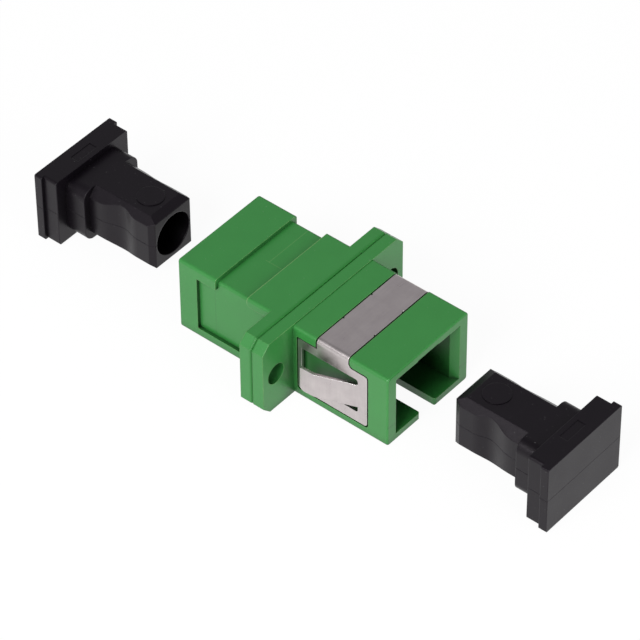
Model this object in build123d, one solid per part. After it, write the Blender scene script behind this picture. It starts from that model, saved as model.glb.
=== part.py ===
from build123d import *
from math import cos, radians, sin
import os

# Simplex fibre optic adapter with its two dust plugs taken off.
# Lengths are in millimetres and angles in degrees.
# The origin is the centre of the alignment sleeve, on the seam of the two halves.
# +X runs along the mating axis to the port on the clip side, +Z is up, keyways down.

# Port and moulded walls
port_width = 9.1
port_height = 7.4
side_wall = 1.8
floor_wall = 0.9
half_length = 13.7
edge_round = 0.35
mouth_round = 0.2

# Mouth of each port
lead_in = 0.5
lead_in_depth = 0.9
key_width = 2.4
key_length = 9.8
key_round = 0.3
rim_relief_width = 3.3
rim_relief_depth = 0.1
rim_relief_length = 5.0

# Flange plates, one on each half
flange_width = 22.0
flange_thickness = 1.5
flange_chamfer = 1.0
flange_rise = 0.1
hole_edge = 2.0
hole_diameter = 2.4
seam_break = 0.14

# Rear half: collar, recessed sides, lowered middle and band beside the flange
collar_length = 5.0
end_rim_length = 2.45
side_recess = 0.4
foot_rim = 1.17
collar_rim = 1.35
middle_drop = 0.5
middle_round = 0.35
band_length = 3.05
band_depth = 1.05
band_round = 0.5

# Alignment sleeve, a split ring that grips the two ferrules
ferrule_diameter = 2.5
sleeve_wall = 0.35
sleeve_length = 11.4
sleeve_slit = 0.5
sleeve_gap = 0.05
sleeve_end_gap = 0.1

# Latch holders, one behind each port
holder_flange = 1.2
holder_side_margin = 0.55
holder_top_margin = 0.25
holder_gap = 0.05
barrel_wall = 0.45
barrel_lip = 0.6
barrel_mouth = 2.9
arm_thickness = 0.7
arm_height = 4.0
arm_wall_gap = 0.25
arm_reach = 8.0
hook_length = 1.5
hook_flat = 0.5
hook_rake = 0.15
hook_gap = 0.2

# Panel clip, folded from one sheet
sheet = 0.3
clip_gap = 0.15
strap_start = 4.6
strap_width = 4.05
strap_corner = 0.5
strap_nick = 0.12
strap_nick_place = 2.2
bend_inside = 0.25
plate_start = 2.15
plate_length = 8.9
plate_foot = 1.12
plate_height = 6.78
plate_corner = 0.4
window_start = 2.62
window_length = 7.25
window_foot = 2.43
window_height = 4.42
window_corner = 0.3
window_relief = 0.3
relief_margin = 0.15

# Clip tongues, cut from the side plates and bent outwards
tongue_top_slot = 0.65
tongue_foot_slot = 0.73
tongue_lift = 21.0
tongue_end_lift = 3.5
tongue_leg = 4.6
tongue_tip = 1.75
tongue_root_bend = 0.9
tongue_bend = 1.0
tongue_corner = 0.6

# Dust plugs
plug_length = 13.8
plug_height = 8.6
lip_width = 11.7
lip_thickness = 0.95
lip_corner = 0.2
cap_width = 11.0
cap_thickness = 1.75
cap_corner = 0.3
neck_length = 2.55
neck_side_gap = 0.4
neck_corner = 1.3
shank_gap = 0.25
shank_flat = 4.5
shank_root = 6.62
shank_waist = 5.35
shank_end = 6.1
shoulder_place = 6.3
waist_place = 9.5
end_place = 11.45
side_bevel = 0.7
side_narrowing = 0.35
top_bevel = 0.95
top_lowering = 0.45
plug_hole_mouth = 5.0
plug_hole_gap = 0.25
plug_hole_depth = 6.0
pin_mark_diameter = 3.0
pin_mark_place = 10.85
pin_mark_rise = 0.08
gate_mark_length = 2.9
gate_mark_width = 1.0
gate_mark_place = 1.6
gate_mark_depth = 0.05
front_pull = 16.8
rear_pull = 17.5

# Sizes that follow from the ones above
body_width = port_width + 2 * side_wall
body_height = port_height + 2 * floor_wall
body_top = body_height / 2
body_foot = -body_height / 2
raised_top = body_top + flange_rise
hole_pitch = flange_width - 2 * hole_edge
pocket_width = port_width + 2 * holder_side_margin + 2 * holder_gap
pocket_height = port_height + 2 * holder_top_margin + 2 * holder_gap
sleeve_diameter = ferrule_diameter + 2 * sleeve_wall
barrel_bore = sleeve_diameter + 2 * sleeve_gap
barrel_diameter = barrel_bore + 2 * barrel_wall
barrel_reach = sleeve_length / 2 + sleeve_end_gap + barrel_lip
plug_hole_root = barrel_diameter + 2 * plug_hole_gap
neck_width = port_width - 2 * neck_side_gap
shank_height = port_height - 2 * shank_gap
cap_face = lip_thickness + cap_thickness


# Sketches drawn across the mating axis are (Y, Z), side outlines are (X, Z)
def rectangle(low_a, high_a, low_b, high_b):
    """Rectangle between two corners of a sketch."""
    middle = Pos((low_a + high_a) / 2, (low_b + high_b) / 2)
    return middle * Rectangle(high_a - low_a, high_b - low_b)


def along_x(section, start, end):
    """Solid of a (Y, Z) section between two places on the mating axis."""
    return extrude(Plane.YZ.offset(start) * section, amount=end - start)


def across_y(outline, start, end):
    """Solid of an (X, Z) side outline between two distances from the middle."""
    return extrude(Plane.XZ.offset(-end) * outline, amount=end - start)


def upwards(plan, start, end):
    """Solid of an (X, Y) plan between two heights."""
    return extrude(Plane.XY.offset(start) * plan, amount=end - start)


def round_corners(sketch, radius, *places):
    """Round the corners of a sketch that lie nearest to the given places."""
    corners = [min(sketch.vertices(), key=lambda v: (v.X - a) ** 2 + (v.Y - b) ** 2) for a, b in places]
    return fillet(corners, radius)


def both_sides(piece):
    """The piece and its mirror image on the other side of the adapter."""
    return piece + mirror(piece, Plane.XZ)


# Features that both moulded halves share, made for the half on the +X side
def flange_plate():
    """Flange plate with cut corners, two screw holes and a broken edge at the seam."""
    outline = rectangle(-flange_width / 2, flange_width / 2, body_foot, raised_top)
    outline = chamfer(outline.vertices(), flange_chamfer)
    plate = along_x(outline, 0, flange_thickness)
    seam_edges = plate.faces().sort_by(Axis.X)[0].edges()
    plate = chamfer(seam_edges, seam_break)
    holes = [Pos(side * hole_pitch / 2, 0) * Circle(hole_diameter / 2) for side in (-1, 1)]
    for hole in holes:
        plate -= along_x(hole, 0, flange_thickness)
    return plate


def barrel_block(top):
    """Outer block of one half from the seam to its port face."""
    outline = rectangle(-body_width / 2, body_width / 2, body_foot, top)
    outline = fillet(outline.vertices(), edge_round)
    block = along_x(outline, 0, half_length)
    port_face_edges = block.faces().sort_by(Axis.X)[-1].edges()
    return fillet(port_face_edges, mouth_round)


def port_cavity():
    """Everything that is open inside one half: port, lead-in, keyway and holder pocket."""
    port = rectangle(-port_width / 2, port_width / 2, -port_height / 2, port_height / 2)
    cavity = along_x(port, 0, half_length)
    pocket = rectangle(-pocket_width / 2, pocket_width / 2, -pocket_height / 2, pocket_height / 2)
    cavity += along_x(pocket, 0, holder_flange)

    inner = port_width / 2
    mouth = Polygon(
        (half_length - lead_in_depth, -inner), (half_length, -inner - lead_in),
        (half_length, inner + lead_in), (half_length - lead_in_depth, inner), align=None)
    cavity += upwards(mouth, -port_height / 2, port_height / 2)

    relief = rectangle(-rim_relief_width / 2, rim_relief_width / 2, 0, port_height / 2 + rim_relief_depth)
    cavity += along_x(relief, half_length - rim_relief_length, half_length)

    keyway = rectangle(half_length - key_length, half_length, -key_width / 2, key_width / 2)
    return cavity + upwards(keyway, body_foot, 0)


def key_corner_cut():
    """What rounds the two floor corners where the keyway meets the port face."""
    slot = rectangle(half_length - key_round, half_length, -key_width / 2 - key_round, key_width / 2 + key_round)
    corners = [Pos(half_length - key_round, side * (key_width / 2 + key_round)) * Circle(key_round) for side in (-1, 1)]
    for corner in corners:
        slot -= corner
    return upwards(slot, body_foot, -port_height / 2)


# Front half, with the pockets that the panel clip lies in
def clip_pockets():
    """Strap groove over the top, side pockets and the reliefs behind the tongues."""
    strap = rectangle(-body_width / 2, body_width / 2, 0, body_top)
    core = rectangle(-body_width / 2 + sheet, body_width / 2 - sheet, 0, body_top - sheet)
    core = round_corners(core, bend_inside, (-body_width / 2, body_top), (body_width / 2, body_top))
    groove = along_x(strap - core, strap_start - clip_gap, strap_start + strap_width + clip_gap)

    left, right = plate_start - clip_gap, plate_start + plate_length + clip_gap
    foot = body_foot + plate_foot - clip_gap
    top = body_foot + plate_foot + plate_height + clip_gap
    side = rectangle(left, right, foot, top)
    side = round_corners(side, plate_corner, (left, foot), (right, foot), (right, top))
    pocket = across_y(side, body_width / 2 - sheet, body_width / 2)

    relief = rectangle(
        window_start - relief_margin, window_start + window_length + relief_margin,
        body_foot + window_foot - relief_margin, body_foot + window_foot + window_height + relief_margin)
    pocket += across_y(relief, body_width / 2 - sheet - window_relief, body_width / 2)
    return groove + both_sides(pocket)


def nub_corner():
    """Rounded corner of the wall between the strap and the side pocket, towards the port."""
    start = strap_start + strap_width + clip_gap
    top = body_foot + plate_foot + plate_height + clip_gap
    corner = rectangle(start, start + strap_corner, top, top + strap_corner)
    corner -= Pos(start + strap_corner, top + strap_corner) * Circle(strap_corner)
    return both_sides(across_y(corner, body_width / 2 - sheet, body_width / 2))


def make_front_housing():
    housing = barrel_block(body_top) + flange_plate()
    return housing - port_cavity() - key_corner_cut() - clip_pockets() - nub_corner()


# Rear half, modelled on the +X side like the front half and then turned round
def recess_outline():
    """Side outline of the panel that is sunk between the rims, the collar and the band."""
    panel_end = half_length - end_rim_length
    foot = body_foot + foot_rim
    collar_start = half_length - collar_length
    band_end = flange_thickness + band_length
    collar_foot = raised_top - collar_rim
    band_foot = raised_top - band_depth
    outline = Polygon(
        (flange_thickness, foot), (panel_end, foot), (panel_end, collar_foot), (collar_start, collar_foot),
        (collar_start, raised_top), (band_end, raised_top), (band_end, band_foot),
        (flange_thickness, band_foot), align=None)
    return round_corners(outline, band_round, (band_end, band_foot))


def middle_cut():
    """What lowers the top and rounds its edges between the collar and the band."""
    half = body_width / 2 - side_recess
    top = raised_top - middle_drop
    kept = rectangle(-half, half, body_foot, top)
    kept = round_corners(kept, middle_round, (-half, top), (half, top))
    section = rectangle(-body_width / 2, body_width / 2, top - middle_round, raised_top) - kept
    return along_x(section, flange_thickness + band_length, half_length - collar_length)


def make_rear_housing():
    housing = barrel_block(raised_top) + flange_plate()
    panel = across_y(recess_outline(), body_width / 2 - side_recess, body_width / 2)
    housing = housing - both_sides(panel) - middle_cut()
    housing = housing - port_cavity() - key_corner_cut()
    return mirror(housing, Plane.YZ)


# Latch holder: clamped flange, half of the sleeve barrel and two hooked arms
def make_latch_holder():
    width = pocket_width - 2 * holder_gap
    height = pocket_height - 2 * holder_gap
    holder = along_x(Rectangle(width, height), 0, holder_flange)
    barrel_profile = Polygon(
        (0, barrel_bore / 2), (0, barrel_diameter / 2), (barrel_reach, barrel_diameter / 2),
        (barrel_reach, barrel_mouth / 2), (barrel_reach - barrel_lip, barrel_mouth / 2),
        (barrel_reach - barrel_lip, barrel_bore / 2), align=None)
    holder += revolve(barrel_profile, Axis.X)
    holder -= along_x(Circle(barrel_bore / 2), 0, holder_flange)

    outside = port_width / 2 - arm_wall_gap
    inside = outside - arm_thickness
    catch = shank_end / 2 + hook_gap
    back = arm_reach - hook_length
    arm_plan = Polygon(
        (0, inside), (back, inside), (back + hook_rake, catch), (arm_reach - hook_flat, catch),
        (arm_reach, inside), (arm_reach, outside), (0, outside), align=None)
    arm = upwards(arm_plan, -arm_height / 2, arm_height / 2)
    return holder + both_sides(arm)


# Alignment sleeve, with its slit down the whole length
def make_alignment_sleeve():
    ring = Circle(sleeve_diameter / 2) - Circle(ferrule_diameter / 2)
    ring -= rectangle(-sleeve_slit / 2, sleeve_slit / 2, 0, sleeve_diameter)
    return along_x(ring, -sleeve_length / 2, sleeve_length / 2)


# Panel clip
def clip_side_outline():
    """Flat outline of one side plate with its window and the neck of the strap."""
    left, right = plate_start, plate_start + plate_length
    foot = body_foot + plate_foot
    top = foot + plate_height
    strap_end = strap_start + strap_width
    plate = rectangle(left, right, foot, top)
    plate = round_corners(plate, plate_corner, (left, foot), (right, foot), (right, top))
    gusset = rectangle(strap_end, strap_end + strap_corner, top, top + strap_corner)
    gusset -= Pos(strap_end + strap_corner, top + strap_corner) * Circle(strap_corner)
    window_end = window_start + window_length
    window_top = body_foot + window_foot + window_height
    window = rectangle(window_start, window_end, body_foot + window_foot, window_top)
    window = round_corners(window, window_corner, (window_end, body_foot + window_foot), (window_end, window_top))
    return plate + gusset - window


def clip_tongue():
    """Tongue bent out of the side plate, with a rounded lower corner at its free end."""
    root = window_start + window_length
    mid_sheet = body_width / 2 - sheet / 2
    lift, end_lift = radians(tongue_lift), radians(tongue_end_lift)
    knee_x = root - tongue_leg * cos(lift)
    knee_y = mid_sheet + tongue_leg * sin(lift)
    end_x = knee_x - tongue_tip * cos(end_lift)
    end_y = knee_y + tongue_tip * sin(end_lift)
    path = FilletPolyline(
        (root + 2 * sheet, mid_sheet), (root, mid_sheet), (knee_x, knee_y), (end_x, end_y),
        radius=[tongue_root_bend, tongue_bend])
    top = body_foot + window_foot + window_height - tongue_top_slot
    foot = body_foot + window_foot + tongue_foot_slot
    strip = upwards(trace(path, sheet), foot, top)

    corner = rectangle(end_x - sheet, end_x + tongue_corner, foot - sheet, foot + tongue_corner)
    corner -= Pos(end_x + tongue_corner, foot + tongue_corner) * Circle(tongue_corner)
    return strip - across_y(corner, 0, body_width / 2 + tongue_leg)


def strap_nicks():
    """Small round nicks in the strap's edges, where the blank was held in its strip."""
    edges = [strap_start, strap_start + strap_width]
    nicks = Sketch() + [Pos(edge, strap_nick_place) * Circle(strap_nick) for edge in edges]
    return both_sides(upwards(nicks, body_top - sheet, body_top))


def make_panel_clip():
    strap_foot = body_foot + plate_foot + plate_height - sheet
    outer = rectangle(-body_width / 2, body_width / 2, strap_foot, body_top)
    outer = round_corners(outer, bend_inside + sheet, (-body_width / 2, body_top), (body_width / 2, body_top))
    inner = rectangle(-body_width / 2 + sheet, body_width / 2 - sheet, strap_foot, body_top - sheet)
    inner = round_corners(inner, bend_inside, (-body_width / 2, body_top), (body_width / 2, body_top))
    strap = along_x(outer - inner, strap_start, strap_start + strap_width) - strap_nicks()
    side = across_y(clip_side_outline(), body_width / 2 - sheet, body_width / 2)
    return strap + both_sides(side + clip_tongue())


# Dust plug, drawn from its outer face at X = 0 towards its tip
def shank_plan():
    """Plan of the shank: full root, waist that the latch hooks drop into, bevelled tip."""
    root, waist, end = shank_root / 2, shank_waist / 2, shank_end / 2
    bevel_start = plug_length - side_bevel
    along = (1, 0)
    hollow = Spline(
        (shoulder_place, root), (waist_place, waist), (end_place, end), tangents=[along, along, along])
    tip = Polyline((end_place, end), (bevel_start, end), (plug_length, end - side_narrowing), (plug_length, 0))
    half = hollow + tip + Polyline((plug_length, 0), (cap_face, 0), (cap_face, root), (shoulder_place, root))
    return both_halves(make_face(half))


def both_halves(face):
    """A sketch and its mirror image across its own X axis."""
    return face + mirror(face, Plane.XZ)


def shank_section():
    """Section of the shank: flat top and bottom with sloped bands down to the sides."""
    return chamfer(Rectangle(shank_root, shank_height).vertices(), (shank_root - shank_flat) / 2)


def shank_side():
    """Side outline of the shank, lowered towards its tip."""
    half = shank_height / 2
    bevel_start = plug_length - top_bevel
    return Polygon(
        (cap_face, -half), (bevel_start, -half), (plug_length, top_lowering - half),
        (plug_length, half - top_lowering), (bevel_start, half), (cap_face, half), align=None)


def make_plug():
    lip = fillet(Rectangle(lip_width, plug_height).vertices(), lip_corner)
    cap = fillet(Rectangle(cap_width, plug_height).vertices(), cap_corner)
    neck = fillet(Rectangle(neck_width, shank_height).vertices(), neck_corner)
    plug = along_x(lip, 0, lip_thickness)
    plug += along_x(cap, 0, cap_face)
    plug += along_x(neck, 0, cap_face + neck_length)

    shank = upwards(shank_plan(), -shank_height / 2, shank_height / 2)
    shank &= along_x(shank_section(), cap_face, plug_length)
    shank &= across_y(shank_side(), -shank_root, shank_root)
    plug += shank

    hole_bottom = plug_length - plug_hole_depth
    plug -= revolve(Polygon(
        (hole_bottom, 0), (plug_length, 0), (plug_length, plug_hole_mouth / 2), (hole_bottom, plug_hole_root / 2),
        align=None), Axis.X)
    pin_mark =Pos(pin_mark_place, 0) * Circle(pin_mark_diameter / 2)
    plug += upwards(pin_mark, shank_height / 2, shank_height / 2 + pin_mark_rise)
    gate_mark = Pos(gate_mark_place, 0) * Rectangle(gate_mark_width, gate_mark_length)
    return plug - upwards(gate_mark, plug_height / 2 - gate_mark_depth, plug_height / 2)


# The whole object
def main():
    os.makedirs("parts", exist_ok=True)
    holder = make_latch_holder()
    plug = make_plug()
    front_face = half_length + front_pull + cap_face
    rear_face = half_length + rear_pull + cap_face
    parts = {
        "front_housing": make_front_housing(),
        "rear_housing": make_rear_housing(),
        "front_latch_holder": holder,
        "rear_latch_holder": Rot(0, 0, 180) * holder,
        "alignment_sleeve": make_alignment_sleeve(),
        "panel_clip": make_panel_clip(),
        "front_plug": Pos(front_face, 0, 0) * Rot(0, 0, 180) * plug,
        "rear_plug": Pos(-rear_face, 0, 0) * plug,
    }
    for name, shape in parts.items():
        export_step(shape, f"parts/{name}.step")


main()
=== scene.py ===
# %% [markdown]
# # A fibre optic adapter with its dust plugs off
# A moulded green body in two halves takes one connector from each end, a folded steel clip snaps
# it into a panel, and two black plugs keep dust out of the ports. The solids come from the packed
# model, which fixes every size. This lesson only adds finishes, three hair-fine mould features,
# light and the camera, all in metres and in the model's own frame.

# %% Load the frame
from math import cos, radians, sin
import bmesh
import bpy
from mathutils import Matrix, Vector


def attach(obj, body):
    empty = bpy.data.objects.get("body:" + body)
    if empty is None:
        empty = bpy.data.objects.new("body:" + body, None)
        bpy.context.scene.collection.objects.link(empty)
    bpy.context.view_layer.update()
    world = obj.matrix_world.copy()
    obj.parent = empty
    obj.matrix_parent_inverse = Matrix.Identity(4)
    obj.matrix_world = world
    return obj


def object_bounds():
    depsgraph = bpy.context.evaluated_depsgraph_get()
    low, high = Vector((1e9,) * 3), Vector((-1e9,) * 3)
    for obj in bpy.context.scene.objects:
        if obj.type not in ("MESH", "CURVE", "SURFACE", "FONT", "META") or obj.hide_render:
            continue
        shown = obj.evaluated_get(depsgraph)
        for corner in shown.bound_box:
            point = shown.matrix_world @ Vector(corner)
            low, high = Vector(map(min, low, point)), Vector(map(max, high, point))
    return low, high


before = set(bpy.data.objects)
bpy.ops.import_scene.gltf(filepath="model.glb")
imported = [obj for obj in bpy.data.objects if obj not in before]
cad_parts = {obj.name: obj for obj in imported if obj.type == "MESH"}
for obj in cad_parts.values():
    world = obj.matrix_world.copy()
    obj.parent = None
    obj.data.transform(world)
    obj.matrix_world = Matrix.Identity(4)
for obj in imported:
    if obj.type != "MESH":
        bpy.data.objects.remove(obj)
cad_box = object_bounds()
mm = 0.001
print("nodes:", sorted(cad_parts))

# %% [markdown]
# ## Camera
# The photograph was taken with a long lens from above the clip side. Lens, distance and angles
# were fitted to the corners of the body, the flange and the plugs. A long lens far away keeps the
# edges almost parallel, as they are in the photograph.

# %% Camera
photo_frame = 640
lens_in_pixels = 4200.0
sensor_width = 36.0
camera_azimuth = radians(40.31)
camera_elevation = radians(43.67)
camera_roll = radians(-0.51)
camera_distance = 424.2 * mm
aim_right, aim_up = 0.25 * mm, 0.11 * mm
nearest_seen, farthest_seen = 10 * mm, 50.0


def camera_axes():
    """The camera's right, up and backward directions."""
    flat = cos(camera_elevation)
    back = Vector((sin(camera_azimuth) * flat, -cos(camera_azimuth) * flat, sin(camera_elevation)))
    level = Vector((cos(camera_azimuth), sin(camera_azimuth), 0.0))
    above = back.cross(level)
    right = cos(camera_roll) * level + sin(camera_roll) * above
    up = -sin(camera_roll) * level + cos(camera_roll) * above
    return right, up, back


def place_camera():
    right, up, back = camera_axes()
    eye = camera_distance * back - aim_right * right - aim_up * up
    lens = bpy.data.cameras.new("camera")
    lens.sensor_width = sensor_width
    lens.lens = lens_in_pixels / photo_frame * sensor_width
    lens.clip_start = nearest_seen
    lens.clip_end = farthest_seen
    camera = bpy.data.objects.new("camera", lens)
    turn = Matrix((right, up, back)).transposed().to_4x4()
    camera.matrix_world = Matrix.Translation(eye) @ turn
    bpy.context.scene.collection.objects.link(camera)
    bpy.context.scene.camera = camera
    return camera


camera = place_camera()
bpy.context.scene.view_settings.view_transform = "Standard"
print("camera:", [round(v, 4) for v in camera.location], "lens", round(camera.data.lens, 1))

# %% [markdown]
# ## Helpers for node trees
# Materials and Geometry Nodes are both networks of nodes. A few small helpers keep the code
# readable: they fill an input, add a node, do arithmetic, start a group with named inputs and
# outputs, and place that group in a material. An input takes a plain value or a node's output.

# %% Node helpers
def feed(tree, target, value):
    """Link an output into a socket, or store a plain value in it."""
    if isinstance(value, bpy.types.NodeSocket):
        tree.links.new(value, target)
    else:
        target.default_value = value


def add(tree, kind, inputs=None, **settings):
    """A new node with its settings and its inputs."""
    made = tree.nodes.new(kind)
    for name, value in settings.items():
        setattr(made, name, value)
    for key, value in (inputs or {}).items():
        feed(tree, made.inputs[key], value)
    return made


def calc(tree, operation, *values, clamp=False):
    """The output of a Math node."""
    made = add(tree, "ShaderNodeMath", operation=operation, use_clamp=clamp)
    for place, value in enumerate(values):
        feed(tree, made.inputs[place], value)
    return made.outputs[0]


def new_group(name, kind, inputs, outputs):
    """An empty node group with named inputs (name, type, value) and outputs (name, type)."""
    group = bpy.data.node_groups.new(name, kind)
    for label, socket_type, value in inputs:
        made = group.interface.new_socket(label, in_out="INPUT", socket_type=socket_type)
        if value is not None:
            made.default_value = value
    for label, socket_type in outputs:
        group.interface.new_socket(label, in_out="OUTPUT", socket_type=socket_type)
    return group, group.nodes.new("NodeGroupInput"), group.nodes.new("NodeGroupOutput")


def use(tree, group, **inputs):
    """A shader group placed in a material with its own values; _ stands for a space."""
    made = add(tree, "ShaderNodeGroup", node_tree=group)
    for name, value in inputs.items():
        feed(tree, made.inputs[name.replace("_", " ")], value)
    return made.outputs


print("helpers ready")

# %% [markdown]
# ## Moulded skin
# Moulded plastic copies the spark-eroded or ground steel of its mould: a grain of about a tenth
# of a millimetre, over a slow waviness where the plastic shrank. Image textures could show that,
# but noise in object coordinates has no seams and needs no unwrapping. One group serves the green
# and the black mouldings, and its two sizes are inputs.

# %% Shader group: moulded skin
grain_in_bump = 0.7
grain_in_mottle = 0.5


def moulded_skin_group():
    group, given, result = new_group(
        "moulded skin", "ShaderNodeTree",
        [("Grain Size", "NodeSocketFloat", 0.12 * mm), ("Wave Size", "NodeSocketFloat", 2.5 * mm)],
        [("Height", "NodeSocketFloat"), ("Mottle", "NodeSocketFloat")])
    place = add(group, "ShaderNodeTexCoord").outputs["Object"]
    grain_scale = calc(group, "DIVIDE", 1.0, given.outputs["Grain Size"])
    wave_scale = calc(group, "DIVIDE", 1.0, given.outputs["Wave Size"])
    grain = add(group, "ShaderNodeTexNoise", {
        "Vector": place, "Scale": grain_scale, "Detail": 3.0, "Roughness": 0.6})
    wave = add(group, "ShaderNodeTexNoise", {
        "Vector": place, "Scale": wave_scale, "Detail": 2.0, "Roughness": 0.5})
    for label, share in (("Height", grain_in_bump), ("Mottle", grain_in_mottle)):
        fine = calc(group, "MULTIPLY", grain.outputs["Fac"], share)
        blend = calc(group, "MULTIPLY_ADD", wave.outputs["Fac"], 1.0 - share, fine)
        feed(group, result.inputs[label], blend)
    return group


moulded_skin = moulded_skin_group()
print("group:", moulded_skin.name)

# %% [markdown]
# ## Rubbed edges and painted highlights
# Real edges are never perfectly sharp: a radius of a few hundredths of a millimetre catches the
# light as a thin line, and handling rubs it paler. The Bevel node rounds the shading normal
# without touching the mesh. Where that rounded normal leaves the flat one is the edge, and its pale
# colour is partly wear and partly a painted highlight. Nothing rubs an inner corner, so both end
# where the Ambient Occlusion node finds a wall close by.

# %% Shader group: edge wear and painted highlight
inner_corner, outer_edge = 0.75, 0.95


def edge_wear_and_highlight_group():
    group, given, result = new_group(
        "edge wear and highlight", "ShaderNodeTree",
        [("Radius", "NodeSocketFloat", 0.06 * mm), ("Wall Reach", "NodeSocketFloat", 0.5 * mm),
         ("Strength", "NodeSocketFloat", 5.0)],
        [("Normal", "NodeSocketVector"), ("Edge", "NodeSocketFloat")])
    rounded = add(group, "ShaderNodeBevel", {"Radius": given.outputs["Radius"]}, samples=8)
    flat = add(group, "ShaderNodeNewGeometry").outputs["Normal"]
    agreement = add(group, "ShaderNodeVectorMath", operation="DOT_PRODUCT")
    feed(group, agreement.inputs[0], rounded.outputs["Normal"])
    feed(group, agreement.inputs[1], flat)
    bend = calc(group, "SUBTRACT", 1.0, agreement.outputs["Value"])
    openness = add(group, "ShaderNodeAmbientOcclusion", {
        "Distance": given.outputs["Wall Reach"]}, samples=8).outputs["AO"]
    outer = add(group, "ShaderNodeMapRange", {
        "Value": openness, "From Min": inner_corner, "From Max": outer_edge})
    wear_and_highlight = calc(group, "MULTIPLY", bend, given.outputs["Strength"], clamp=True)
    edge = calc(group, "MULTIPLY", wear_and_highlight, outer.outputs["Result"])
    normal = add(group, "ShaderNodeMix", data_type="VECTOR")
    feed(group, normal.inputs[0], outer.outputs["Result"])
    feed(group, normal.inputs[4], flat)
    feed(group, normal.inputs[5], rounded.outputs["Normal"])
    feed(group, result.inputs["Normal"], normal.outputs[1])
    feed(group, result.inputs["Edge"], edge)
    return group


edge_wear_and_highlight = edge_wear_and_highlight_group()
print("group:", edge_wear_and_highlight.name)

# %% [markdown]
# ## Mould line
# Where two blocks of a mould meet, the plastic keeps a line a few hundredths of a millimetre
# wide. Across the line the group makes a soft ridge from one coordinate. A second and a third
# coordinate end the line where the mould block ends, so one group draws every line on the part.

# %% Shader group: mould line
def mould_line_group():
    group, given, result = new_group(
        "mould line", "ShaderNodeTree",
        [("Across", "NodeSocketFloat", 0.0), ("Place", "NodeSocketFloat", 0.0),
         ("Width", "NodeSocketFloat", 0.06 * mm),
         ("Along", "NodeSocketFloat", 0.0),
         ("Start", "NodeSocketFloat", -1.0), ("End", "NodeSocketFloat", 1.0),
         ("Depth", "NodeSocketFloat", 0.0),
         ("Low", "NodeSocketFloat", -1.0), ("High", "NodeSocketFloat", 1.0)],
        [("Mask", "NodeSocketFloat")])
    offset = calc(group, "SUBTRACT", given.outputs["Across"], given.outputs["Place"])
    share = calc(group, "DIVIDE", calc(group, "ABSOLUTE", offset), given.outputs["Width"])
    mask = calc(group, "SUBTRACT", 1.0, share, clamp=True)
    for coordinate, first, last in (("Along", "Start", "End"), ("Depth", "Low", "High")):
        mask = calc(group, "MULTIPLY", mask, calc(
            group, "GREATER_THAN", given.outputs[coordinate], given.outputs[first]))
        mask = calc(group, "MULTIPLY", mask, calc(
            group, "LESS_THAN", given.outputs[coordinate], given.outputs[last]))
    feed(group, result.inputs["Mask"], mask)
    return group


mould_line = mould_line_group()
print("group:", mould_line.name)

# %% [markdown]
# ## Painted shade in deep recesses
# Light dies away inside the ports, in the corner between flange and body and behind the clip's
# tongues, and this group paints that shade into the colour. The Ambient Occlusion node measures
# how closed in a point is, which depends on the shape alone and not on where the camera stands. A
# long reach that only sees the point's own solid finds the ports; a short one that sees every
# solid finds the cracks. For each, the limits say how open a shut place and a clear place are, and
# the painted shade when shut.

# %% Shader group: painted recess shade
port_limits = (0.30, 0.66, 1.0)
crack_limits = (0.20, 0.85, 0.7)


def painted_recess_shade_group():
    group, given, result = new_group(
        "painted recess shade", "ShaderNodeTree",
        [("Reach", "NodeSocketFloat", 12.0 * mm), ("Crack Reach", "NodeSocketFloat", 2.2 * mm),
         ("Strength", "NodeSocketFloat", 0.9)],
        [("Mask", "NodeSocketFloat")])
    hollow = add(group, "ShaderNodeAmbientOcclusion", {
        "Distance": given.outputs["Reach"]}, samples=8, only_local=True).outputs["AO"]
    crack = add(group, "ShaderNodeAmbientOcclusion", {
        "Distance": given.outputs["Crack Reach"]}, samples=8).outputs["AO"]
    closed = 0.0
    for openness, (shut, clear, darkest) in ((hollow, port_limits), (crack, crack_limits)):
        shade = add(group, "ShaderNodeMapRange", {
            "Value": openness, "From Min": shut, "From Max": clear, "To Min": darkest, "To Max": 0.0},
            interpolation_type="SMOOTHSTEP")
        closed = calc(group, "MAXIMUM", closed, shade.outputs["Result"])
    mask = calc(group, "MULTIPLY", closed, given.outputs["Strength"])
    feed(group, result.inputs["Mask"], mask)
    return group


painted_recess_shade = painted_recess_shade_group()
print("group:", painted_recess_shade.name)

# %% [markdown]
# ## Dust
# Even a clean studio part carries a few pale specks. They are the rare peaks of a fine noise, so
# a high threshold leaves only isolated dots.

# %% Shader group: dust specks
speck_sharpness = 14.0


def dust_group():
    group, given, result = new_group(
        "dust specks", "ShaderNodeTree",
        [("Speck Size", "NodeSocketFloat", 0.16 * mm), ("Threshold", "NodeSocketFloat", 0.83)],
        [("Mask", "NodeSocketFloat")])
    place = add(group, "ShaderNodeTexCoord").outputs["Object"]
    scale = calc(group, "DIVIDE", 1.0, given.outputs["Speck Size"])
    specks = add(group, "ShaderNodeTexNoise", {
        "Vector": place, "Scale": scale, "Detail": 0.0, "Roughness": 0.5})
    above = calc(group, "SUBTRACT", specks.outputs["Fac"], given.outputs["Threshold"])
    mask = calc(group, "MULTIPLY", above, speck_sharpness, clamp=True)
    feed(group, result.inputs["Mask"], mask)
    return group


dust_specks = dust_group()
print("group:", dust_specks.name)

# %% [markdown]
# ## Colours and ranges
# Every material starts from a plain Principled surface, mixes colours by a mask, and spreads a
# noise over the range that it needs. Noise seldom leaves the middle of its scale, so the spread
# reads only that middle, or the mottling would hardly show.

# %% Colour and range helpers
noise_low, noise_high = 0.3, 0.7


def darkened(colour, share):
    """A colour with this share of its brightness left."""
    return tuple(share * part for part in colour[:3]) + (1.0,)


def start_material(name):
    made = bpy.data.materials.new(name)
    made.use_nodes = True
    tree = made.node_tree
    return made, tree, tree.nodes["Principled BSDF"]


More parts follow.
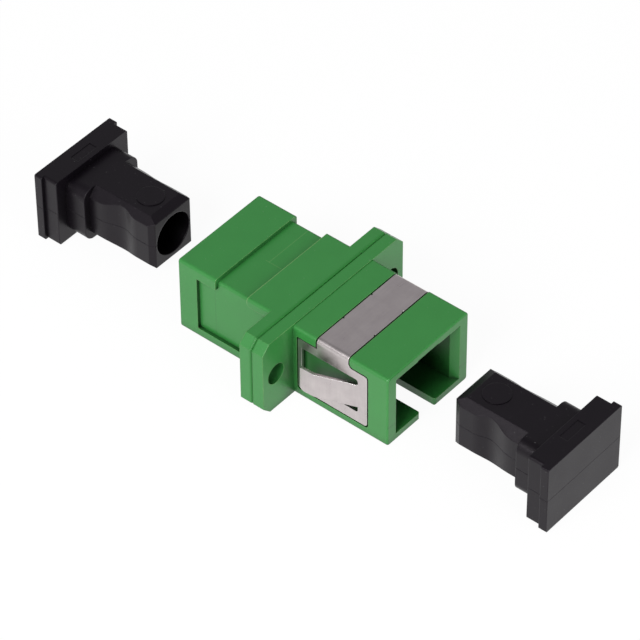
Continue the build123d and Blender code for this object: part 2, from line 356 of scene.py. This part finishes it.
def mixed(tree, share, first, second):
    """Colour between two others."""
    made = add(tree, "ShaderNodeMix", data_type="RGBA")
    feed(tree, made.inputs["Factor"], share)
    feed(tree, made.inputs["A"], first)
    feed(tree, made.inputs["B"], second)
    return made.outputs["Result"]


def ranged(tree, value, low, high):
    """A noise, from its usual lowest to its usual highest value, spread from low to high."""
    made = add(tree, "ShaderNodeMapRange", {
        "Value": value, "From Min": noise_low, "From Max": noise_high, "To Min": low, "To Max": high})
    return made.outputs["Result"]


print("colour helpers ready")

# %% [markdown]
# ## Lines and steps
# A line lies on one coordinate and stops where two others leave its window. A list of such lines
# becomes one mask. A step stands for mould halves that meet a little out of line. It is a change
# of height along a wobbling border, so its bump leans away from the light and looks dark.

# %% Draw lines and a step
step_wobble = 0.35 * mm
step_run = 0.05 * mm


def draw_lines(tree, lines):
    """Joined mask of mould lines. Each has its coordinate, place and width, the stretch along it
    and in depth, all in mm, and its strength."""
    place = add(tree, "ShaderNodeTexCoord").outputs["Object"]
    axes = add(tree, "ShaderNodeSeparateXYZ", {"Vector": place}).outputs
    joined = 0.0
    for across, at, width, along, (start, end), depth, (low, high), strength in lines:
        mask = use(
            tree, mould_line, Across=axes[across], Place=at * mm, Width=width * mm,
            Along=axes[along], Start=start * mm, End=end * mm,
            Depth=axes[depth], Low=low * mm, High=high * mm)["Mask"]
        joined = calc(tree, "MAXIMUM", joined, calc(tree, "MULTIPLY", mask, strength))
    return joined


def draw_step(tree, wobble):
    """0 below mid-height and 1 above it, along a line that wobbles: mould halves out of line."""
    place = add(tree, "ShaderNodeTexCoord").outputs["Object"]
    height = add(tree, "ShaderNodeSeparateXYZ", {"Vector": place}).outputs["Z"]
    bent = calc(tree, "MULTIPLY_ADD", calc(tree, "SUBTRACT", wobble, 0.5), step_wobble, height)
    made = add(tree, "ShaderNodeMapRange", {"Value": bent, "From Min": -step_run, "From Max": step_run})
    return made.outputs["Result"]


print("lines and steps ready")

# %% [markdown]
# ## Moulded plastic
# Green and black are filled engineering plastic with a satin skin: the colour wanders a little,
# the roughness follows the same waviness, and the bump is the grain. The function is the recipe,
# and each call gives one plastic its colours, numbers and lines. A raised line is thin flash, and
# its pale colour is a painted highlight; a sunk line is a parting that looks dark, or painted
# shade on a floor. The edges take the pale colour as wear and painted highlight, and ports and
# cracks take painted shade. The joint between the welded halves gets a painted shade of its own,
# laid over everything else: the deeper green that light bouncing from wall to wall in a green
# groove gives, where nothing rubs.

# %% Material recipe: moulded plastic
# shares: sunk lines and painted floor shade, painted shade in recesses, edge wear and painted highlight
groove_and_shade_share, recess_shade_share, wear_and_highlight_share = 0.4, 0.14, 0.7
groove_height, ridge_height = -2.5, 2.0
roughness_spread = 0.04
skin_bump, skin_relief = 0.6, 0.01 * mm
no_tint = (1.0, 1.0, 1.0, 1.0)
dust_colour = (0.6, 0.6, 0.6, 1.0)


def moulded(name, dark, light, wear_and_highlight, roughness, shine, edge_radius, dust_amount,
            joint=None, joint_shade_colour=None, sunk_lines_and_shade=(), raised=(), step=0.0, tint=no_tint):
    """Satin moulded plastic with joint, mould lines and step; the fourth colour is edge wear and painted
    highlight.
    """
    made, tree, surface = start_material(name)
    surface.inputs["Specular IOR Level"].default_value = shine
    surface.inputs["Specular Tint"].default_value = tint
    skin = use(tree, moulded_skin)
    edge = use(tree, edge_wear_and_highlight, Radius=edge_radius * mm)
    colour = mixed(tree, ranged(tree, skin["Mottle"], 0.0, 1.0), dark, light)
    # sunk lines: dark partings and painted shade; raised lines: flash with a painted highlight
    groove_and_shade, lit_ridge = draw_lines(tree, sunk_lines_and_shade), draw_lines(tree, raised)
    colour = mixed(tree, groove_and_shade, colour, darkened(dark, groove_and_shade_share))
    colour = mixed(tree, lit_ridge, colour, wear_and_highlight)
    # edges: wear and painted highlight, broken up by the mottle
    uneven_wear_and_highlight = calc(tree, "MULTIPLY", edge["Edge"], ranged(tree, skin["Mottle"], 0.0, wear_and_highlight_share))
    colour = mixed(tree, uneven_wear_and_highlight, colour, wear_and_highlight)
    dust = calc(tree, "MULTIPLY", use(tree, dust_specks)["Mask"], dust_amount)
    colour = mixed(tree, dust, colour, dust_colour)
    # painted shade in ports, cracks and corners
    depth = use(tree, painted_recess_shade, Strength=1.0)["Mask"]
    colour = mixed(tree, depth, colour, darkened(dark, recess_shade_share))
    # the joint's painted shade
    if joint:
        colour = mixed(tree, draw_lines(tree, [joint]), colour, joint_shade_colour)
    feed(tree, surface.inputs["Base Color"], colour)
    feed(tree, surface.inputs["Roughness"],
         ranged(tree, skin["Mottle"], roughness - roughness_spread, roughness + roughness_spread))
    height = calc(tree, "MULTIPLY_ADD", groove_and_shade, groove_height, skin["Height"])
    height = calc(tree, "MULTIPLY_ADD", lit_ridge, ridge_height, height)
    height = calc(tree, "MULTIPLY_ADD", draw_step(tree, skin["Mottle"]), -step, height)
    bump = add(tree, "ShaderNodeBump", {
        "Height": height, "Strength": skin_bump, "Distance": skin_relief, "Normal": edge["Normal"]})
    feed(tree, surface.inputs["Normal"], bump.outputs["Normal"])
    return made


print("recipe ready: moulded plastic")

# %% [markdown]
# ## Green and black plastic
# The outer halves are leaf green, the latch holders inside them are a darker green, and the plugs
# are black with a sheen that leans a little to purple. The windows of coordinates, in millimetres,
# say where a line lies: across the top of the lowered middle, along the band's edge as a painted
# highlight, on the rim of the front port, or over the sunk floor behind the clip as painted shade
# from the sheet and its tongue. Only the plugs have the step, at mid-height.

# %% Green and black plastic
everywhere = (-100.0, 100.0)
middle_top = (4.1, 4.3)
rim_face = (13.6, 13.8)
relief_floor = 5.75
relief_x = (2.47, 10.02)
relief_z = (-2.32, 2.4)
green_moulding = moulded(
    "green_moulding", (0.030, 0.216, 0.041, 1.0), (0.035, 0.237, 0.047, 1.0),
    (0.42, 0.62, 0.26, 1.0), roughness=0.35, shine=0.50, edge_radius=0.09, dust_amount=0.20,
    # painted shade: the deeper green of the seam groove
    joint=("X", -0.06, 0.34, "Y", everywhere, "Z", everywhere, 1.0),
    joint_shade_colour=(0.012, 0.18, 0.020, 1.0),
    # painted shade on the sunk floor behind the clip, where the sheet and its tongue shade it
    sunk_lines_and_shade=[("Y", -relief_floor, 0.05, "X", relief_x, "Z", relief_z, 0.8),
          ("Y", relief_floor, 0.05, "X", relief_x, "Z", relief_z, 0.8),
          ("X", -9.1, 0.05, "Z", (-3.4, 3.8), "Y", (-5.98, 5.98), 0.4),
          ("Z", -2.1, 0.06, "X", rim_face, "Y", (-6.3, -5.0), 0.9),
          ("Z", -2.1, 0.06, "X", rim_face, "Y", (5.0, 6.3), 0.9)],
    # painted highlight on raised flash across the middle top, and a painted highlight along the band's
    # edge
    raised=[("X", -6.64, 0.035, "Y", (-0.4, 6.0), "Z", middle_top, 0.25),
            ("Y", -0.42, 0.035, "X", (-7.1, -5.0), "Z", middle_top, 0.25),
            ("X", -4.55, 0.08, "Y", everywhere, "Z", (3.2, 4.9), 0.5)])
latch_moulding = moulded(
    "latch_moulding", (0.020, 0.150, 0.028, 1.0), (0.026, 0.172, 0.034, 1.0),
    (0.16, 0.40, 0.14, 1.0), roughness=0.38, shine=0.50, edge_radius=0.07, dust_amount=0.15)
black_moulding = moulded(
    "black_moulding", (0.0030, 0.0020, 0.0036, 1.0), (0.0046, 0.0032, 0.0054, 1.0),
    (0.024, 0.021, 0.027, 1.0), roughness=0.36, shine=0.26, edge_radius=0.16, dust_amount=0.10,
    step=4.5, tint=(1.0, 0.93, 1.0, 1.0))
print("materials:", green_moulding.name, latch_moulding.name, black_moulding.name)

# %% [markdown]
# ## Rolled spring steel
# The clip is cut from rolled strip, so its brightness breaks up into faint streaks along the
# strip, with cloudy patches from pickling. Stretching the noise coordinates along the strip's
# own length makes the streaks; the strip runs along Y over the top and along Z down the sides.

# %% Material: spring steel
along_strip = (1.0, 0.08, 0.08)
streak_scale, cloud_scale = 4200.0, 700.0
streak_share = 0.3
steel_dark, steel_light = (0.525, 0.477, 0.480, 1.0), (0.645, 0.593, 0.590, 1.0)
# pale cut edges: wear and painted highlight; shaded: painted shade in the gaps
steel_wear_and_highlight, steel_shaded = (0.90, 0.89, 0.88, 1.0), (0.05, 0.05, 0.05, 1.0)


def make_spring_steel():
    made, tree, surface = start_material("spring_steel")
    place = add(tree, "ShaderNodeTexCoord").outputs["Object"]
    drawn = add(tree, "ShaderNodeMapping", {"Vector": place, "Scale": along_strip}).outputs["Vector"]
    streaks = add(tree, "ShaderNodeTexNoise", {
        "Vector": drawn, "Scale": streak_scale, "Detail": 3.0, "Roughness": 0.5}).outputs["Fac"]
    clouds = add(tree, "ShaderNodeTexNoise", {
        "Vector": place, "Scale": cloud_scale, "Detail": 5.0, "Roughness": 0.6}).outputs["Fac"]
    edge = use(tree, edge_wear_and_highlight, Radius=0.05 * mm, Wall_Reach=0.1 * mm)
    cloud_part = calc(tree, "MULTIPLY", clouds, 1.0 - streak_share)
    tone = calc(tree, "MULTIPLY_ADD", streaks, streak_share, cloud_part)
    colour = mixed(tree, ranged(tree, tone, 0.0, 1.0), steel_dark, steel_light)
    # edge wear and painted highlight on the cut edges
    colour = mixed(tree, calc(tree, "MULTIPLY", edge["Edge"], wear_and_highlight_share), colour, steel_wear_and_highlight)
    # painted shade in the gaps round the clip
    depth = use(tree, painted_recess_shade, Crack_Reach=0.3 * mm, Strength=0.8)["Mask"]
    feed(tree, surface.inputs["Base Color"], mixed(tree, depth, colour, steel_shaded))
    surface.inputs["Metallic"].default_value = 1.0
    feed(tree, surface.inputs["Roughness"], ranged(tree, tone, 0.26, 0.38))
    bump = add(tree, "ShaderNodeBump", {
        "Height": tone, "Strength": 0.4, "Distance": 0.003 * mm, "Normal": edge["Normal"]})
    feed(tree, surface.inputs["Normal"], bump.outputs["Normal"])
    return made


spring_steel = make_spring_steel()
print("material:", spring_steel.name)

# %% [markdown]
# ## White ceramic
# The alignment sleeve is ground zirconia: almost white, smooth and glossy, with the finest
# grinding lines running round it. It hides between the latch holders, but a look into the port
# can still catch its end.

# %% Material: white ceramic
round_sleeve = (1.0, 0.1, 0.1)
grinding_scale = 8000.0
ceramic_dark, ceramic_light = (0.80, 0.79, 0.75, 1.0), (0.86, 0.85, 0.82, 1.0)


def make_white_ceramic():
    made, tree, surface = start_material("white_ceramic")
    place = add(tree, "ShaderNodeTexCoord").outputs["Object"]
    ground = add(tree, "ShaderNodeMapping", {"Vector": place, "Scale": round_sleeve}).outputs["Vector"]
    lines = add(tree, "ShaderNodeTexNoise", {
        "Vector": ground, "Scale": grinding_scale, "Detail": 3.0, "Roughness": 0.6}).outputs["Fac"]
    tone = ranged(tree, lines, 0.0, 1.0)
    feed(tree, surface.inputs["Base Color"], mixed(tree, tone, ceramic_dark, ceramic_light))
    feed(tree, surface.inputs["Roughness"], ranged(tree, lines, 0.12, 0.22))
    bump = add(tree, "ShaderNodeBump", {"Height": lines, "Strength": 0.3, "Distance": 0.002 * mm})
    feed(tree, surface.inputs["Normal"], bump.outputs["Normal"])
    return made


white_ceramic = make_white_ceramic()
print("material:", white_ceramic.name)

# %% [markdown]
# ## Dress the solids
# A solid from the model keeps its mesh. Only the material in its slots changes.

# %% Dress the solids
finish_of = {
    "front_housing": green_moulding,
    "rear_housing": green_moulding,
    "front_latch_holder": latch_moulding,
    "rear_latch_holder": latch_moulding,
    "alignment_sleeve": white_ceramic,
    "panel_clip": spring_steel,
    "front_plug": black_moulding,
    "rear_plug": black_moulding,
}
for name, finish in finish_of.items():
    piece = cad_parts[name]
    piece.data.materials.clear()
    piece.data.materials.append(finish)
print("dressed:", len(finish_of), "solids")

# %% [markdown]
# ## Bead and flash
# The two halves are welded at the seam, which leaves a thin uneven bead in its groove, and each
# plug has a hair of flash where its mould halves met. Both follow an outline of the solid, so the
# script slices the solid's own mesh there instead of repeating its sizes. Geometry Nodes then
# sweep a small round section along the outline, and a noise makes it swell, thin out and break.
# Where it breaks its points are merged and the bare edges deleted, so every stretch is closed.

# %% Geometry Nodes: uneven bead along an outline
swell_rate = 3.0
section_corners = 6
pinch_reach = 0.0005 * mm


def uneven_bead_tree():
    tree, given, result = new_group(
        "uneven bead", "GeometryNodeTree",
        [("Outline", "NodeSocketGeometry", None), ("Radius", "NodeSocketFloat", 0.04 * mm),
         ("Step", "NodeSocketFloat", 0.2 * mm), ("Patch Size", "NodeSocketFloat", 1.5 * mm),
         ("Break Below", "NodeSocketFloat", 0.3), ("Finish", "NodeSocketMaterial", None)],
        [("Bead", "NodeSocketGeometry")])
    line = add(tree, "GeometryNodeMeshToCurve", {"Mesh": given.outputs["Outline"]}).outputs["Curve"]
    even = add(tree, "GeometryNodeResampleCurve", {"Curve": line}, mode="LENGTH")
    feed(tree, even.inputs["Length"], given.outputs["Step"])
    patches = add(tree, "ShaderNodeTexNoise", {
        "Vector": add(tree, "GeometryNodeInputPosition").outputs[0],
        "Scale": calc(tree, "DIVIDE", 1.0, given.outputs["Patch Size"]), "Detail": 3.0})
    swell = calc(tree, "SUBTRACT", patches.outputs["Fac"], given.outputs["Break Below"])
    swell = calc(tree, "MULTIPLY", swell, swell_rate, clamp=True)
    section = add(tree, "GeometryNodeCurvePrimitiveCircle", {"Resolution": section_corners})
    feed(tree, section.inputs["Radius"], given.outputs["Radius"])
    swept = add(tree, "GeometryNodeCurveToMesh", {
        "Curve": even.outputs["Curve"], "Profile Curve": section.outputs["Curve"], "Scale": swell,
        "Fill Caps": True})
    pinched = add(tree, "GeometryNodeMergeByDistance", {
        "Geometry": swept.outputs["Mesh"], "Distance": pinch_reach})
    faces = add(tree, "GeometryNodeInputMeshEdgeNeighbors").outputs["Face Count"]
    whole = add(tree, "GeometryNodeDeleteGeometry", {
        "Geometry": pinched.outputs["Geometry"], "Selection": calc(tree, "LESS_THAN", faces, 0.5)},
        domain="EDGE")
    smooth = add(tree, "GeometryNodeSetShadeSmooth", {"Geometry": whole.outputs["Geometry"]})
    solid = add(tree, "GeometryNodeRealizeInstances", {"Geometry": smooth.outputs["Geometry"]})
    dressed = add(tree, "GeometryNodeSetMaterial", {
        "Geometry": solid.outputs["Geometry"], "Material": given.outputs["Finish"]})
    feed(tree, result.inputs["Bead"], dressed.outputs["Geometry"])
    return tree


uneven_bead = uneven_bead_tree()
print("tree:", uneven_bead.name)

# %% [markdown]
# ## An outline from the solid itself
# A plane cuts a copy of the solid's mesh into loops of edges, and the longest loop is the outer
# outline. The mesh is loose triangles, so the copy's doubled points are merged first, or every
# face would give a loop of its own. The outline could be drawn from sizes instead, but then it
# would miss the solid after any change to it.

# %% Slice a solid
merge_reach = 0.0002 * mm


def loose_parts(section):
    """The edges of a section, sorted into connected loops."""
    left, loops = set(section.edges), []
    while left:
        loop, border = set(), [left.pop()]
        while border:
            edge = border.pop()
            loop.add(edge)
            near = {other for corner in edge.verts for other in corner.link_edges} & left
            left -= near
            border.extend(near)
        loops.append(loop)
    return loops


def middle_of(edge):
    return (edge.verts[0].co + edge.verts[1].co) / 2


def outer_outline(node, point, normal, keep):
    """Mesh of the longest loop that a plane cuts from a solid; keep(middle) picks its edges."""
    section = bmesh.new()
    section.from_mesh(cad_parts[node].data)
    bmesh.ops.remove_doubles(section, verts=section.verts[:], dist=merge_reach)
    everything = section.verts[:] + section.edges[:] + section.faces[:]
    cut = bmesh.ops.bisect_plane(
        section, geom=everything, dist=merge_reach / 2, plane_co=point, plane_no=normal)
    on_plane = {item for item in cut["geom_cut"] if isinstance(item, bmesh.types.BMEdge)}
    bmesh.ops.delete(section, geom=section.faces[:], context="FACES_ONLY")
    spare = [edge for edge in section.edges if edge not in on_plane]
    bmesh.ops.delete(section, geom=spare, context="EDGES")
    longest = max(loose_parts(section), key=lambda loop: sum(edge.calc_length() for edge in loop))
    spare = [edge for edge in section.edges if edge not in longest or not keep(middle_of(edge))]
    bmesh.ops.delete(section, geom=spare, context="EDGES")
    mesh = bpy.data.meshes.new(node + "_outline")
    section.to_mesh(mesh)
    section.free()
    return mesh


def lift(mesh, offset):
    """Move a mesh's points."""
    mesh.transform(Matrix.Translation(offset))
    return mesh


print("slicing ready")

# %% [markdown]
# ## The swept piece
# A modifier runs the bead tree on an outline. Its inputs are set by the sockets' identifiers, which
# a file keeps when a label changes. The result becomes a plain mesh, with nothing left live on it
# for the export, and rides on the body that it sits on.

# %% Sweep the bead
def sweep_bead(name, outline, body, slot, **values):
    """A plain mesh piece that the bead tree makes along an outline."""
    piece = bpy.data.objects.new(name, outline)
    bpy.context.scene.collection.objects.link(piece)
    modifier = piece.modifiers.new("bead", "NODES")
    modifier.node_group = uneven_bead
    for socket in uneven_bead.interface.items_tree:
        label = socket.name.replace(" ", "_")
        if socket.in_out == "INPUT" and label in values:
            modifier[socket.identifier] = values[label]
    evaluated = piece.evaluated_get(bpy.context.evaluated_depsgraph_get())
    swept = bpy.data.meshes.new_from_object(evaluated)
    piece.modifiers.remove(modifier)
    piece.data = swept
    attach(piece, body)
    return piece


print("sweeping ready")

# %% [markdown]
# ## Weld bead
# A little melt stays in the groove between the welded halves. The bead is thinner than the groove
# is deep, so it never stands out past the flange, and it breaks off where the noise is low. Under
# the body the halves meet flush, with no groove, so the bead stops there.

# %% Weld bead in the seam groove
bead_radius = 0.03 * mm
bead_place = 0.03 * mm


def make_weld_bead():
    """The bead lies deep in the groove, so its outline is cut just beside the seam."""
    underside = cad_box[0][2]

    def in_groove(middle):
        return middle.z > underside + bead_radius

    outline = outer_outline("front_housing", (bead_place, 0, 0), (1, 0, 0), in_groove)
    return sweep_bead(
        "weld_bead", lift(outline, (-bead_place, 0, 0)), "adapter", "green_moulding",
        Radius=bead_radius, Step=0.25 * mm, Patch_Size=1.2 * mm, Break_Below=0.42, Finish=green_moulding)


weld_bead = make_weld_bead()
print("weld bead:", len(weld_bead.data.polygons), "faces")

# %% [markdown]
# ## Flash on the plugs
# The mould halves of a plug met at mid-height, and a hair of plastic crept between them. It stands
# on both flanks, where a fingernail would catch it. The ferrule hole and the outer face have none,
# so the piece of outline that crosses them is left out.

# %% Flash on the plugs
flash_radius = 0.03 * mm
hole_reach = 2.62 * mm


def make_plug_flash(node):
    """Flash on both flanks of a plug, but not in its hole or across its outer face."""
    corners = [vertex.co.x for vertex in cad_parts[node].data.vertices]
    low, high = min(corners), max(corners)

    def on_flank(middle):
        inside = low + flash_radius < middle.x < high - flash_radius
        return inside and abs(middle.y) > hole_reach

    outline = outer_outline(node, (0, 0, 0), (0, 0, 1), on_flank)
    return sweep_bead(
        node + "_flash", outline, node, "black_moulding",
        Radius=flash_radius, Step=0.15 * mm, Patch_Size=1.0 * mm, Break_Below=0.4, Finish=black_moulding)


flashes = [make_plug_flash(node) for node in ("front_plug", "rear_plug")]
print("flash:", [len(piece.data.polygons) for piece in flashes], "faces")

# %% [markdown]
# ## Floor and sky
# A product photograph stands on a white sweep. The floor is light grey to the lamps, so it keeps
# the object's shadow and throws little light into the ports. A large share of plain glow towards
# camera, glossy and transmission rays lifts it to the photograph's white; the glow is a little
# over a strength of 1, which makes up for the grey share. Upright faces mirror that white floor,
# and the tops mirror the greyer sky, so the sides look paler.

# %% Floor
floor_height = cad_box[0][2]
floor_size = 6.0
floor_glow = 0.90
glow_strength = 1.05
floor_grey = 0.62


def make_floor():
    bpy.ops.mesh.primitive_plane_add(size=floor_size, location=(0, 0, floor_height))
    floor = bpy.context.object
    floor.name = "floor"
    made = bpy.data.materials.new("floor_white")
    made.use_nodes = True
    tree = made.node_tree
    tree.nodes.remove(tree.nodes["Principled BSDF"])
    output = tree.nodes["Material Output"]
    matte = add(tree, "ShaderNodeBsdfDiffuse", {"Color": (floor_grey, floor_grey, floor_grey, 1.0)})
    glow = add(tree, "ShaderNodeEmission", {"Color": (1.0, 1.0, 1.0, 1.0), "Strength": glow_strength})
    rays = add(tree, "ShaderNodeLightPath").outputs
    seen = calc(tree, "MAXIMUM", rays["Is Camera Ray"], rays["Is Glossy Ray"])
    seen = calc(tree, "MAXIMUM", seen, rays["Is Transmission Ray"])
    mix = add(tree, "ShaderNodeMixShader", {"Fac": calc(tree, "MULTIPLY", seen, floor_glow)})
    feed(tree, mix.inputs[1], matte.outputs[0])
    feed(tree, mix.inputs[2], glow.outputs[0])
    feed(tree, output.inputs["Surface"], mix.outputs[0])
    floor.data.materials.append(made)
    return floor


floor = make_floor()
print("floor at", round(floor_height, 5))

# %% [markdown]
# ## Sky and lamps
# Two square softboxes stand round the object: the stronger one on the clip's near side, the
# weaker one beyond the front port. The rest of the light is a grey sky, a ramp over the height of
# the direction. It is darkest straight overhead, as a studio ceiling is, so flat tops stay deep in
# colour and a step on a black plug mirrors something dark.

# %% Sky and lamps
sky_steps = (
    (0.05, (0.38, 0.38, 0.38, 1.0)),
    (0.72, (0.47, 0.465, 0.48, 1.0)),
    (1.0, (0.12, 0.12, 0.12, 1.0)),
)


def make_sky():
    world = bpy.data.worlds.new("studio_sky")
    world.use_nodes = True
    tree = world.node_tree
    direction = add(tree, "ShaderNodeTexCoord").outputs["Generated"]
    height = add(tree, "ShaderNodeSeparateXYZ", {"Vector": direction}).outputs["Z"]
    ramp = add(tree, "ShaderNodeValToRGB", {"Fac": height}).color_ramp
    ramp.elements.new(0.5)
    for element, (position, grey) in zip(ramp.elements, sky_steps):
        element.position = position
        element.color = grey
    feed(tree, tree.nodes["Background"].inputs["Color"], tree.nodes["Color Ramp"].outputs["Color"])
    bpy.context.scene.world = world
    return world


def add_softbox(name, place, size, power):
    """A square lamp that faces the object."""
    lamp = bpy.data.lights.new(name, "AREA")
    lamp.shape = "SQUARE"
    lamp.size = size
    lamp.energy = power
    softbox = bpy.data.objects.new(name, lamp)
    softbox.location = place
    softbox.rotation_euler = Vector(place).to_track_quat("Z", "Y").to_euler()
    bpy.context.scene.collection.objects.link(softbox)
    return softbox


sky = make_sky()
softboxes = [
    add_softbox("key_softbox", place=(0.03, -0.44, 0.30), size=0.30, power=2.45),
    add_softbox("right_softbox", place=(0.50, -0.05, 0.18), size=0.30, power=1.2),
]
print("sky:", sky.name, "lamps:", [lamp.name for lamp in softboxes])
